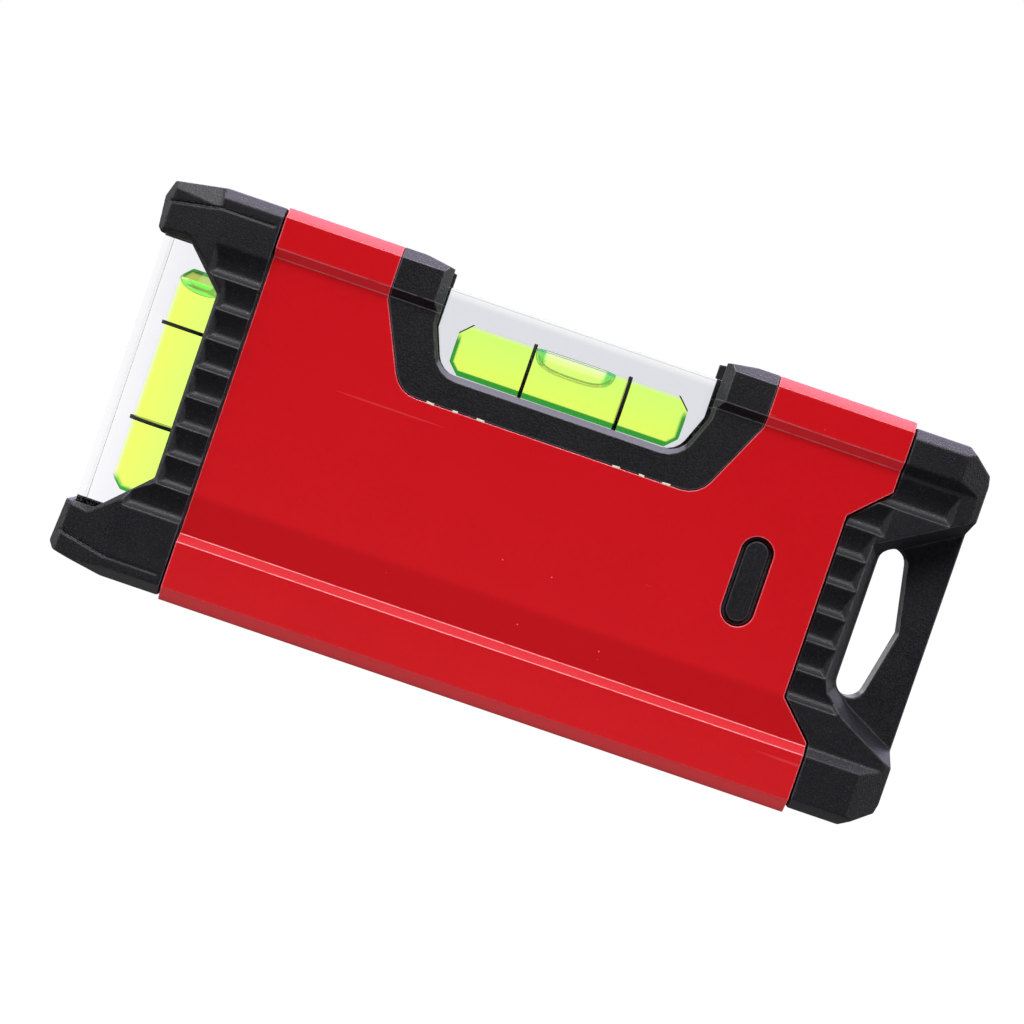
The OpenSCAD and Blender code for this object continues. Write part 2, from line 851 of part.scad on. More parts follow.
module level_axis() translate([level_x0, 0, level_z]) rotate([0, 90, 0]) children();
level_mouth = level_block_x0 + block_l - level_x0;

module level_vial_block() {
  color("lightcyan", 0.4)
    difference() {
      level_block_room(0);
      level_axis() chamber(level_mouth + over);
    }
}

module level_vial_plug() color("lightcyan", 0.4) level_axis() plug(level_mouth);

module level_vial_marks() color("black") level_axis() marks();

meniscus_r = (pow(bubble_l / 2, 2) + pow(bubble_h, 2)) / (2 * bubble_h);

module level_vial_fluid() {
  color("greenyellow")
    difference() {
      level_axis() fluid_form();
      translate([level_x0 - over, -big, level_z + bubble_r - bubble_h - channel_clear])
        cube([chamber_l + 2 * over, 2 * big, big]);
    }
}

// Bubble: the top of the chamber, cut below by a curved meniscus.
module level_vial_bubble() {
  color("white", 0.5)
    intersection() {
      translate([level_mid_x - bubble_l, 0, level_z])
        rotate([0, 90, 0])
          cylinder(r = bubble_r, h = 2 * bubble_l, $fn = 64);
      translate([level_mid_x, big / 2, level_z + bubble_r - bubble_h + meniscus_r])
        rotate([90, 0, 0])
          cylinder(r = meniscus_r, h = big, $fn = 96);
    }
}

module plumb_axis() translate([plumb_x, 0, plumb_z0]) children();
plumb_mouth = plumb_block_z0 + block_l - plumb_z0;

module plumb_vial_block() {
  color("lightcyan", 0.4)
    difference() {
      translate([plumb_block_x0, -block_t / 2, plumb_block_z0])
        cube([plumb_block_w, block_t, block_l - slip]);
      plumb_axis() chamber(plumb_mouth + over);
    }
}

module plumb_vial_plug() color("lightcyan", 0.4) plumb_axis() plug(plumb_mouth - slip);

module plumb_vial_marks() color("black") plumb_axis() marks();

module plumb_vial_fluid() {
  color("greenyellow")
    plumb_axis()
      difference() {
        fluid_form();
        translate([0, 0, -over])
          cylinder(r = plumb_bubble_r + channel_clear, h = chamber_l + 2 * over);
      }
}

// Bubble at the top of the chamber: chamfered above and domed below.
module plumb_vial_bubble() {
  r = plumb_bubble_r;
  dome = plumb_bubble_h - plumb_bubble_edge - plumb_bubble_side;
  dome_r = (r * r + dome * dome) / (2 * dome);
  top = chamber_l - fill_clear;
  color("white", 0.5)
    plumb_axis()
      rotate_extrude($fn = 64)
        polygon(concat(
          [[0, top], [r - plumb_bubble_edge, top], [r, top - plumb_bubble_edge]],
          arc([0, top - plumb_bubble_h + dome_r], dome_r, asin((dome - dome_r) / dome_r), -90, 10)));
}

// ---------------------------------------------------------------- base magnets
module base_magnets() {
  color("silver")
    for (x = magnet_xs())
      translate([x, 0, magnet_z0])
        cylinder(d = magnet_d, h = magnet_h);
}

module magnet_tray() {
  l = (magnet_n - 1) * magnet_pitch + magnet_d + 2 * tray_end;
  color("slategray")
    difference() {
      translate([-l / 2, -tray_w / 2, wall_t + part_gap])
        cube([l, tray_w, tray_h]);
      for (x = magnet_xs())
        translate([x, 0, 0])
          cylinder(r = magnet_d / 2 + slip, h = magnet_z0 + magnet_h + slip);
    }
}

box_body();
plumb_end_cap();
hang_end_cap();
lock_key();
front_vial_bezel();
rear_vial_bezel();
level_vial_seat();
level_vial_block();
level_vial_plug();
level_vial_fluid();
level_vial_bubble();
level_vial_marks();
plumb_vial_retainer();
retainer_screws();
plumb_vial_block();
plumb_vial_plug();
plumb_vial_fluid();
plumb_vial_bubble();
plumb_vial_marks();
base_magnets();
magnet_tray();
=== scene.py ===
from math import cos, pi, radians, sin, sqrt

import bmesh
import bpy
from mathutils import Matrix, Vector

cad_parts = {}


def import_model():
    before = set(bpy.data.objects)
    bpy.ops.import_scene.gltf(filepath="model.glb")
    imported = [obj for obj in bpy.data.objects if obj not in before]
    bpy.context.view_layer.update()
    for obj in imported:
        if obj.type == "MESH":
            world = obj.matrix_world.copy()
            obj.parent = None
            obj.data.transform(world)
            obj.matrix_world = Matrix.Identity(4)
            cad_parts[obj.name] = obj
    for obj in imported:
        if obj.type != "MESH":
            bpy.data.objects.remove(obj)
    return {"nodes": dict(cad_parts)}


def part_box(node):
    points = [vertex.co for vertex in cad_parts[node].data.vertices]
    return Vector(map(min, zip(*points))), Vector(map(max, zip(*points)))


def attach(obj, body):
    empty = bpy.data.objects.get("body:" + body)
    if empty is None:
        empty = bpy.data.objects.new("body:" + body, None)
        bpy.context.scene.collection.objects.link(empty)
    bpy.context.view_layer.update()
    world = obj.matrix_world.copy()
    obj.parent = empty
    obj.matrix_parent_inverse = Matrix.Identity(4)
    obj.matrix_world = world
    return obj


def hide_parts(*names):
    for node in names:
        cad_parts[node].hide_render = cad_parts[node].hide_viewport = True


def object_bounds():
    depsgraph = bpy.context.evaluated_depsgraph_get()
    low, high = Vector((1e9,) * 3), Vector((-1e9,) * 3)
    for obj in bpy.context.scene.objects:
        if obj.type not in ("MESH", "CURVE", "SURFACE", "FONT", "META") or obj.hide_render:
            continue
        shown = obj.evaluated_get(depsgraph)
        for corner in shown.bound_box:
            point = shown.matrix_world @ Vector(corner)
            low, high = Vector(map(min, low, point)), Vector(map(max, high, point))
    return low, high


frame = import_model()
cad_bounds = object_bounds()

# The finished look of the spirit level: smooth edged copies of the frame's mouldings, both vials,
# the materials, and a plain white studio. Lengths are in metres; MM turns millimetres into them.
MM = 0.001
BODY = "level"
# The red section's rails: their heights, and how far they stand out from the web between them.
BASE_RAIL_H = 10.6 * MM
TOP_RAIL_H = 7.3 * MM
RAIL_STEP = 1.5 * MM
# Colours are in linear light.
BLACK = (0.0, 0.0, 0.0)
WHITE = (1.0, 1.0, 1.0, 1.0)


# ------------------------------------------------------------------ material building
class Shader:
    """A material's node tree, with one method for each kind of node that is used often."""

    def __init__(self, name, look):
        self.material = bpy.data.materials.new(name)
        self.material.use_nodes = True
        self.material.diffuse_color = look
        self.tree = self.material.node_tree
        self.tree.nodes.clear()
        self.place = self.node("TexCoord").outputs["Object"]

    def node(self, kind, settings=None, **inputs):
        node = self.tree.nodes.new("ShaderNode" + kind)
        for key, value in (settings or {}).items():
            setattr(node, key, value)
        for key, value in inputs.items():
            self.feed(node.inputs[key.replace("_", " ")], value)
        return node

    def feed(self, socket, value):
        if isinstance(value, bpy.types.NodeSocket):
            self.tree.links.new(value, socket)
        else:
            socket.default_value = value

    def math(self, operation, a, b=0.0, clamp=False):
        node = self.node("Math", {"operation": operation, "use_clamp": clamp})
        self.feed(node.inputs[0], a)
        self.feed(node.inputs[1], b)
        return node.outputs[0]

    def product(self, *factors):
        result = factors[0]
        for factor in factors[1:]:
            result = self.math("MULTIPLY", result, factor)
        return result

    def apart(self, a, b):
        """How far two values are from each other."""
        return self.math("ABSOLUTE", self.math("SUBTRACT", a, b))

    def at(self, axis):
        """One of the surface point's coordinates."""
        return self.node("SeparateXYZ", Vector=self.place).outputs[axis]

    def facing(self, axis):
        """One part of the surface's normal."""
        normal = self.node("NewGeometry").outputs["Normal"]
        return self.node("SeparateXYZ", Vector=normal).outputs[axis]

    def noise(self, size, detail=2.0, place=None):
        """Noise whose features are about size metres across."""
        node = self.node("TexNoise", Vector=place or self.place, Scale=1 / size, Detail=detail)
        return node.outputs["Fac"]

    def ramp(self, value, *stops):
        """Colour or grey ramp. A stop is (position, value)."""
        node = self.node("ValToRGB", Fac=value)
        elements = node.color_ramp.elements
        while len(elements) < len(stops):
            elements.new(1.0)
        for element, (position, colour) in zip(elements, stops):
            element.position = position
            grey = not hasattr(colour, "__len__")
            element.color = (colour,) * 3 + (1,) if grey else tuple(colour) + (1,)
        return node.outputs["Color"]

    def rise(self, value, low, high):
        """0 up to low and 1 from high on, smooth between. It falls if high is the lower one."""
        node = self.node("MapRange", {"interpolation_type": "SMOOTHSTEP"}, Value=value)
        self.feed(node.inputs["From Min"], low)
        self.feed(node.inputs["From Max"], high)
        return node.outputs["Result"]

    def edges(self, reach):
        """1 along the mesh's edges and creases, falling to 0 at about reach from them."""
        rounded = self.node("Bevel", {"samples": 6}, Radius=reach).outputs["Normal"]
        alike = self.node("VectorMath", {"operation": "DOT_PRODUCT"})
        self.feed(alike.inputs[0], rounded)
        self.feed(alike.inputs[1], self.node("NewGeometry").outputs["Normal"])
        return self.rise(alike.outputs["Value"], 0.998, 0.975)

    def mix(self, factor, a, b):
        node = self.node("Mix", {"data_type": "RGBA"})
        colours = [s for s in node.inputs if s.type == "RGBA"]
        self.feed(node.inputs["Factor"], factor)
        for socket, value in zip(colours, (a, b)):
            linked = isinstance(value, bpy.types.NodeSocket)
            self.feed(socket, value if linked else tuple(value) + (1,))
        return next(s for s in node.outputs if s.type == "RGBA")

    def bump(self, height, strength, distance):
        return self.node("Bump", Height=height, Strength=strength, Distance=distance).outputs["Normal"]

    def add(self, a, b):
        """Sum of two shader nodes."""
        both = self.node("AddShader")
        self.feed(both.inputs[0], a.outputs[0])
        self.feed(both.inputs[1], b.outputs[0])
        return both

    def turned(self, angle, scale):
        """Object coordinates in the face's plane, turned by angle about Y and stretched."""
        node = self.node("Mapping", Vector=self.place, Rotation=(0, angle, 0), Scale=scale)
        return node.outputs["Vector"]

    def finish(self, **inputs):
        shader = self.node("BsdfPrincipled", **inputs)
        self.output(shader.outputs["BSDF"])
        return self.material

    def output(self, surface):
        self.feed(self.node("OutputMaterial").inputs["Surface"], surface)


def scratches(s, angle, spacing, cover):
    """Mask of fine straight scratches at one angle. Cover is the share of streaks that show."""
    along, across = 14, 900
    streak = s.noise(1.0, 1.0, s.turned(angle, (along, along, across)))
    line = s.ramp(streak, (0.0, 0.0), (0.74, 0.0), (0.765, 1.0), (1.0, 1.0))
    patch = s.ramp(s.noise(spacing, 1.0), (0.0, 0.0), (1 - cover, 0.0), (1.02 - cover, 1.0))
    return s.product(line, patch)


def specks(s, cell, radius, share):
    """Mask of sparse round specks, one to a cell, of which a share shows."""
    node = s.node("TexVoronoi", Vector=s.place, Scale=1 / cell)
    near = s.math("LESS_THAN", node.outputs["Distance"], radius / cell)
    pick = s.node("SeparateColor", Color=node.outputs["Color"]).outputs["Red"]
    return s.product(near, s.math("GREATER_THAN", pick, 1 - share))


def crease_highlights(s, width):
    """Mask of thin painted highlight lines along both rails' creases, broken up here and there."""
    top_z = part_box("box_body")[1][2] - TOP_RAIL_H
    lines = 0.0
    for crease_z in (BASE_RAIL_H, BASE_RAIL_H + RAIL_STEP, top_z - RAIL_STEP, top_z):
        away = s.apart(s.at("Z"), crease_z)
        lines = s.math("MAXIMUM", s.rise(away, width, 0.4 * width), lines)
    return s.product(lines, s.rise(s.noise(2.6 * MM, 2.0), 0.25, 0.5))


def web_shade(s):
    """Mask of the shaded band along the web, just above the base rail."""
    web_z = BASE_RAIL_H + RAIL_STEP
    top_z = web_z + 6.9 * MM
    soft = 0.9 * MM
    return s.product(s.rise(s.at("Z"), web_z - 0.5 * MM, web_z + 0.3 * MM),
                     s.rise(s.at("Z"), top_z + soft, top_z - soft))


def red_coat():
    """Red powder coat with fine scratches and dust, and painted highlights along its edges and creases.
    Faces that look down get a painted red glow that stands in for light bounced from the paper."""
    # The pale colour below is for the painted highlights along edges and creases.
    highlight_pink = (0.95, 0.30, 0.34)
    s = Shader("red_coat", (0.6, 0.01, 0.02, 1))
    tone = s.noise(18 * MM, 3.0)
    fine = s.noise(0.6 * MM, 3.0)
    colour = s.mix(tone, (0.60, 0.0050, 0.0105), (0.66, 0.0065, 0.0130))
    colour = s.mix(s.ramp(fine, (0.3, 0.0), (0.8, 0.25)), colour, (0.54, 0.0045, 0.0095))
    wear = s.math("ADD", scratches(s, radians(-6), 16 * MM, 0.42),
                  scratches(s, radians(38), 21 * MM, 0.40), clamp=True)
    colour = s.mix(s.product(wear, 0.30), colour, (0.80, 0.06, 0.07))
    colour = s.mix(web_shade(s), colour, (0.515, 0.0030, 0.0075))
    # Painted highlights: pale lines along the mesh's edges and along the rails' creases, broken up by
    # noise.
    edge_highlight = s.product(s.edges(0.24 * MM), s.rise(s.noise(2.1 * MM, 2.0), 0.1, 0.5))
    colour = s.mix(s.product(edge_highlight, 0.80), colour, highlight_pink)
    colour = s.mix(s.product(crease_highlights(s, 0.14 * MM), 0.32), colour, highlight_pink)
    dust = specks(s, 3.0 * MM, 0.13 * MM, 0.10)
    colour = s.mix(s.product(dust, 0.7), colour, (0.80, 0.30, 0.30))
    # Painted bounce light: faces that look down glow a little red, as if lit from the paper below.
    under = s.rise(s.facing("Z"), -0.45, -0.65)
    rough = s.math("ADD", s.ramp(fine, (0.0, 0.22), (1.0, 0.28)), s.product(wear, 0.2))
    return s.finish(Base_Color=colour, Roughness=rough, Normal=s.bump(fine, 0.10, 0.03 * MM),
                    Emission_Color=s.mix(under, BLACK, (0.13, 0.001, 0.003)), Emission_Strength=1.0,
                    Specular_IOR_Level=0.5, Coat_Weight=0.25, Coat_Roughness=0.18)


def moulded(name, dark, light, grain=0.24 * MM, sill=False, lit_wall_x=None):
    """Black plastic with a spark-eroded grain, painted glints, and painted highlights along its edges.
    Sill is for
    the bezels: it paints the up-facing lip under the window lighter grey, as lit from above, and paints
    highlight lines along the rails' creases. Past lit_wall_x, walls that face -X are painted light grey,
    as lit through the hang hole."""
    s = Shader(name, tuple(light) + (1,))
    pits = s.noise(grain, 2.5)
    broad = s.noise(7 * MM, 2.0)
    # Painted glints: sparse specks lightened in the base colour; they are also glossier.
    glint = specks(s, 0.50 * MM, 0.13 * MM, 0.22)
    colour = s.mix(s.rise(pits, 0.38, 0.62), dark, light)
    colour = s.mix(s.product(glint, 0.7), colour, [3.5 * c for c in light])
    # Painted highlights: the edges are lightened grey, broken up by noise.
    edge_highlight = s.product(s.edges(0.26 * MM), s.rise(s.noise(1.3 * MM, 2.0), 0.15, 0.5))
    colour = s.mix(s.product(edge_highlight, 0.9), colour, (0.15, 0.145, 0.17))
    if sill:
        # Painted highlight lines along the rails' creases, and painted light on the up-facing lip under
        # the window.
        colour = s.mix(s.product(crease_highlights(s, 0.13 * MM), 0.9), colour, (0.13, 0.125, 0.15))
        lip = s.product(s.rise(s.facing("Z"), 0.42, 0.52), s.rise(s.facing("Z"), 0.69, 0.66))
        colour = s.mix(lip, colour, (0.150, 0.135, 0.185))
    if lit_wall_x:
        # Painted light: walls facing -X past this x are greyed, as if lit through the hang hole.
        wall = s.product(s.rise(s.facing("X"), -0.75, -0.92), s.rise(s.at("X"), lit_wall_x, lit_wall_x + 1 * MM))
        colour = s.mix(wall, colour, (0.50, 0.50, 0.51))
    rough = s.math("ADD", s.ramp(broad, (0.2, 0.44), (0.8, 0.54)), s.product(glint, -0.14))
    return s.finish(Base_Color=colour, Roughness=rough, Normal=s.bump(pits, 1.0, 0.07 * MM),
                    Specular_IOR_Level=0.5)


def metal(name, colour, rough):
    s = Shader(name, tuple(colour) + (1,))
    wave = s.noise(0.5 * MM, 3.0)
    tint = s.mix(s.noise(3 * MM, 2.0), colour, [0.8 * c for c in colour])
    return s.finish(Base_Color=tint, Metallic=1.0, Normal=s.bump(wave, 0.2, 0.02 * MM),
                    Roughness=s.ramp(wave, (0.2, rough), (0.8, rough + 0.15)))


def dull(name, dark, light, grain, rough, relief, detail=2.0):
    """A dull material of two tones. Rough is its least and greatest roughness, and relief is its
    bump's strength and depth."""
    s = Shader(name, light + (1,))
    tone = s.noise(grain, detail)
    return s.finish(Base_Color=s.mix(tone, dark, light), Normal=s.bump(tone, *relief),
                    Roughness=s.ramp(tone, (0.0, rough[0]), (1.0, rough[1])))


def acrylic(vial, tint, free, depth, index):
    """Clear plastic, a little grey. Free is the axis and the sign of the block's outer edge, where
    the grey fades away over depth."""
    s = Shader(vial.name + "_acrylic", tuple(tint) + (0.3,))
    axis, sign = free
    edge = vial.block[sign > 0]["XYZ".index(axis)]
    inside = s.product(s.math("SUBTRACT", edge, s.at(axis)), sign)
    haze = s.noise(9 * MM, 2.0)
    colour = s.mix(haze, [0.985 * c for c in tint], tint)
    colour = s.mix(s.rise(inside, depth, 0.0), colour, (0.97, 0.97, 0.98))
    return s.finish(Base_Color=colour, Transmission_Weight=1.0, IOR=index,
                    Roughness=s.ramp(haze, (0.0, 0.0), (1.0, 0.015)),
                    Normal=s.bump(s.noise(4 * MM, 1.0), 0.02, 0.02 * MM))


def vial_liquid(vial):
    """Yellow-green dye with a painted glow that stands in for its fluorescence, in plastic of its own
    refractive index.
    It is painted dark green round its ends, a painted shade, and fades towards its free edge. The level
    vial's has that painted shade along its lower wall too, with a painted dark line along the upper
    chamfers."""
    s = Shader(vial.name + "_liquid", (0.75, 0.95, 0.15, 0.6))
    start = vial.place.translation
    level = vial.along == "X"
    if level:
        along = s.math("SUBTRACT", s.at("X"), start.x)
        across = s.math("SUBTRACT", s.at("Z"), start.z)
    else:
        along = s.math("SUBTRACT", s.at("Z"), start.z)
        across = s.math("SUBTRACT", s.at("X"), start.x)
    side = s.math("DIVIDE", across, vial.r)
    wall = s.product(s.math("SUBTRACT", 1.0, s.math("ABSOLUTE", side)), vial.r)
    end = s.math("MINIMUM", along, s.math("SUBTRACT", vial.l, along))
    corner = s.math("SUBTRACT", s.math("ADD", end, wall), CHAMBER_CHAMFER)
    rim = s.math("MINIMUM", end, s.product(corner, sqrt(0.5)))
    # Painted shade: the liquid is darkened to green round its ends and along the level vial's lower
    # wall, with a painted dark line along its upper chamfers.
    green = s.rise(rim, 0.85 * MM, 0.45 * MM)
    free = s.rise(side, 0.80, 1.0) if level else s.rise(side, -0.80, -1.0)
    dark_chamfer_line = 0.0
    if level:
        lower_wall_shade = s.rise(s.math("ADD", across, vial.r), 1.05 * MM, 0.80 * MM)
        green = s.math("MAXIMUM", s.product(green, s.rise(side, 0.6, 0.2)), lower_wall_shade)
        dark_chamfer_line = s.product(s.rise(corner, 0.42 * MM, 0.30 * MM), s.rise(side, 0.25, 0.4))
    lime = s.mix(s.rise(side, -0.8, 0.8), (0.52, 0.72, 0.08), (0.42, 0.78, 0.12))
    lime = s.mix(s.product(s.noise(6 * MM, 2.0), 0.15), lime, (0.60, 0.78, 0.10))
    tint = s.mix(green, lime, (0.035, 0.36, 0.040))
    tint = s.mix(free, tint, (0.93, 0.97, 0.90))
    # Painted glow, standing in for the dye's fluorescence; it is weaker in the painted shade and at the
    # free edge.
    glow = s.mix(green, (0.26, 0.285, 0.070), (0.014, 0.045, 0.014))
    glow = s.mix(free, glow, (0.01, 0.01, 0.01))
    return s.finish(Base_Color=s.mix(dark_chamfer_line, tint, BLACK), Transmission_Weight=1.0, IOR=1.0,
                    Roughness=0.0, Emission_Color=s.mix(dark_chamfer_line, glow, BLACK), Emission_Strength=1.0)


def vial_air(name, axis, centre, half_l, index, top):
    """Air inside the liquid, so its index is below that of what surrounds it. It is painted teal at
    half_l from the centre along the axis, a painted reflection, with painted dark outlines where it is
    seen edge on, and it glows faintly, with a painted white highlight just under the chamber's top."""
    s = Shader(name, (0.9, 0.97, 0.85, 0.35))
    away = s.apart(s.at(axis), centre)
    # Painted reflection and highlight: teal near the tips, and a white highlight just under the
    # chamber's top.
    tip_reflection = s.rise(away, 0.72 * half_l, 0.80 * half_l)
    crest_highlight = s.rise(s.apart(s.at("Z"), top - 0.75 * MM), 0.55 * MM, 0.2 * MM)
    clear = s.mix(s.noise(2 * MM, 1.0), (0.93, 0.97, 0.93), (0.97, 0.99, 0.95))
    # Painted shade: dark outlines where the bubble is seen edge on.
    rim = s.rise(s.node("LayerWeight", Blend=0.5).outputs["Facing"], 0.72, 0.92)
    colour = s.mix(rim, s.mix(tip_reflection, clear, (0.08, 0.80, 0.52)), (0.06, 0.16, 0.10))
    glass = s.node("BsdfGlass", Color=colour, Roughness=0.0, IOR=index)
    # Painted glow: the bubble glows faintly, brightest at the painted highlight and teal at the tips.
    painted_shine = s.mix(crest_highlight, (0.07, 0.07, 0.08), (0.34, 0.34, 0.36))
    painted_gleam = s.node("Emission", Color=s.mix(tip_reflection, painted_shine, (0.0, 0.05, 0.035)), Strength=1.0)
    s.output(s.add(glass, painted_gleam).outputs[0])
    return s.material


# ------------------------------------------------------------------ mesh building
WELD = 2e-6
FLAT = radians(0.6)
SHORT = 0.15 * MM
SHARP = radians(20)
ROUND_STEPS = 96


def piece(name, bm, material, nodes=(), body=BODY):
    """Makes an object of bm that rides on a body and stands for the given CAD nodes."""
    bmesh.ops.recalc_face_normals(bm, faces=bm.faces)
    mesh = bpy.data.meshes.new(name)
    bm.to_mesh(mesh)
    bm.free()
    obj = bpy.data.objects.new(name, mesh)
    bpy.context.scene.collection.objects.link(obj)
    mesh.materials.append(material)
    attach(obj, body)
    if nodes:
        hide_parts(*nodes)
    return obj


def welded(node):
    """The CAD node's mesh, welded, with its flat triangles joined into whole faces."""
    bm = bmesh.new()
    bm.from_mesh(frame["nodes"][node].data)
    bmesh.ops.remove_doubles(bm, verts=bm.verts, dist=WELD)
    bmesh.ops.dissolve_limit(bm, angle_limit=FLAT, verts=bm.verts, edges=bm.edges)
    bmesh.ops.dissolve_degenerate(bm, dist=SHORT, edges=bm.edges)
    return bm


def soften(bm, radius):
    """Rounds every sharp edge."""
    edges = [e for e in bm.edges if e.is_manifold and e.calc_face_angle() > SHARP]
    bmesh.ops.bevel(bm, geom=edges, offset=radius, offset_type="OFFSET", segments=2,
                    profile=0.5, affect="EDGES", clamp_overlap=False)


def shade(obj, angle=40):
    """Smooth shading, with the large flat faces keeping their own normals."""
    for face in obj.data.polygons:
        face.use_smooth = True
    obj.data.set_sharp_from_angle(angle=radians(angle))
    weighted = obj.modifiers.new("weighted", "WEIGHTED_NORMAL")
    weighted.keep_sharp = True
    weighted.weight = 100


def refined(node, name, material, radius):
    """Copy of a CAD node with its edges rounded."""
    bm = welded(node)
    soften(bm, radius)
    shade(piece(name, bm, material, [node]))


def applied(obj):
    """Replaces the object's mesh by the result of its modifiers."""
    graph = bpy.context.evaluated_depsgraph_get()
    mesh = bpy.data.meshes.new_from_object(obj.evaluated_get(graph))
    obj.modifiers.clear()
    obj.data = mesh


def melted(node, name, material):
    """Copy of a moulding with scallops, all its edges and inner corners rounded alike."""
    obj = piece(name, welded(node), material, [node])
    remesh = obj.modifiers.new("remesh", "REMESH")
    remesh.mode = "VOXEL"
    remesh.voxel_size = 0.18 * MM
    smooth = obj.modifiers.new("smooth", "SMOOTH")
    smooth.factor = 0.5
    smooth.iterations = 4
    thin = obj.modifiers.new("thin", "DECIMATE")
    thin.ratio = 0.1
    applied(obj)
    shade(obj, 180)


def revolve(bm, profile, place):
    """Surface of revolution about the place's Z. The profile is (radius, z) from axis to axis."""
    rings = []
    for r, z in profile:
        if r < WELD:
            rings.append([bm.verts.new(place @ Vector((0, 0, z)))])
        else:
            rings.append([bm.verts.new(place @ Vector((r * cos(a), r * sin(a), z)))
                          for a in (2 * pi * i / ROUND_STEPS for i in range(ROUND_STEPS))])
    for low, high in zip(rings, rings[1:]):
        for i in range(ROUND_STEPS):
            j = (i + 1) % ROUND_STEPS
            corners = [ring[k % len(ring)] for ring, k in ((low, i), (low, j), (high, j), (high, i))]
            corners = [v for k, v in enumerate(corners) if v not in corners[:k]]
            if len(corners) > 2:
                bm.faces.new(corners)


# ------------------------------------------------------------------ vials
class Vial:
    """Place and size of a chamber, from the frame's liquid. Local Z runs from the blind end."""

    def __init__(self, name, along):
        low, high = (Vector(c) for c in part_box(name + "_vial_fluid"))
        self.name = name
        self.along = along
        self.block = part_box(name + "_vial_block")
        self.r = (high.y - low.y) / 2
        if along == "X":
            self.l = high.x - low.x
            start = Vector((low.x, 0, low.z + self.r))
            turn = Matrix(((0, 0, 1, 0), (0, 1, 0, 0), (-1, 0, 0, 0), (0, 0, 0, 1)))
        else:
            self.l = high.z - low.z
            start = Vector(((low.x + high.x) / 2, 0, low.z))
            turn = Matrix.Identity(4)
        self.place = Matrix.Translation(start) @ turn


CHAMBER_CHAMFER = 1.9 * MM
BARREL_RISE = 0.08 * MM


def liquid_profile(vial):
    """Barrel-shaped chamber with chamfered ends, each corner cut by a soft edge."""
    c = CHAMBER_CHAMFER
    soft = 0.12 * MM
    steps = 12
    wall = []
    for i in range(steps + 1):
        t = i / steps
        bulge = BARREL_RISE * (1 - (2 * t - 1) ** 2)
        wall.append((vial.r + bulge, c + soft + t * (vial.l - 2 * c - 2 * soft)))
    start = [(0, 0), (vial.r - c - soft, 0), (vial.r - c, soft / 2), (vial.r - soft / 2, c)]
    end = [(r, vial.l - z) for r, z in reversed(start)]
    return start + wall + end


def vial_liquid_piece(vial, material):
    bm = bmesh.new()
    revolve(bm, liquid_profile(vial), vial.place)
    obj = piece(vial.name + "_vial_liquid", bm, material,
                [vial.name + "_vial_fluid", vial.name + "_vial_plug"])
    shade(obj, 30)


def acrylic_block(vial, material, chamfer):
    """The block as one clear solid: its front outline, extruded through its thickness. A chamfer
    runs along the upright edges of its outer side."""
    node = vial.name + "_vial_block"
    low, high = vial.block
    bm = welded(node)
    fronts = [f for f in bm.faces if all(abs(v.co.y - low[1]) < WELD for v in f.verts)]
    front = max(fronts, key=lambda f: f.calc_area())
    outline = [v.co.copy() for v in front.verts]
    bm.free()
    bm = bmesh.new()
    face = bm.faces.new([bm.verts.new(p) for p in outline])
    side = bmesh.ops.extrude_face_region(bm, geom=[face])
    moved = [g for g in side["geom"] if isinstance(g, bmesh.types.BMVert)]
    bmesh.ops.translate(bm, verts=moved, vec=Vector((0, high[1] - low[1], 0)))
    if chamfer:
        outer = [e for e in bm.edges if all(abs(v.co.x - low[0]) < WELD for v in e.verts)
                 and abs(e.verts[0].co.z - e.verts[1].co.z) > chamfer]
        bmesh.ops.bevel(bm, geom=outer, offset=chamfer, segments=1, profile=0.5, affect="EDGES")
    soften(bm, 0.08 * MM)
    obj = piece(vial.name + "_vial_acrylic", bm, material, [node])
    shade(obj)


LENS_STEPS = 72
LENS_RINGS = 16
HALVINGS = 40


def lens(bm, top, base, reach, place):
    """Closed lens between two height fields over a plan whose rim is where they meet."""
    def rim(a):
        lo, hi = 0.0, reach
        for _ in range(HALVINGS):
            mid = (lo + hi) / 2
            x, y = mid * cos(a), mid * sin(a)
            lo, hi = (mid, hi) if top(x, y) > base(x, y) else (lo, mid)
        return lo

    def ring(field, t):
        points = [(t * r * cos(a), t * r * sin(a)) for a, r in zip(angles, rims)]
        return [bm.verts.new(place @ Vector((x, y, field(x, y)))) for x, y in points]
    angles = [2 * pi * i / LENS_STEPS for i in range(LENS_STEPS)]
    rims = [rim(a) for a in angles]
    spread = [sin(pi / 2 * k / LENS_RINGS) for k in range(1, LENS_RINGS + 1)]
    rows = [ring(top, t) for t in spread] + [ring(base, t) for t in reversed(spread[:-1])]
    poles = [bm.verts.new(place @ Vector((0, 0, field(0, 0)))) for field in (top, base)]
    for near, far in zip(rows, rows[1:]):
        for i in range(LENS_STEPS):
            j = (i + 1) % LENS_STEPS
            bm.faces.new([near[i], near[j], far[j], far[i]])
    for pole, row in zip(poles, (rows[0], rows[-1])):
        for i in range(LENS_STEPS):
            bm.faces.new([pole, row[i], row[(i + 1) % LENS_STEPS]])


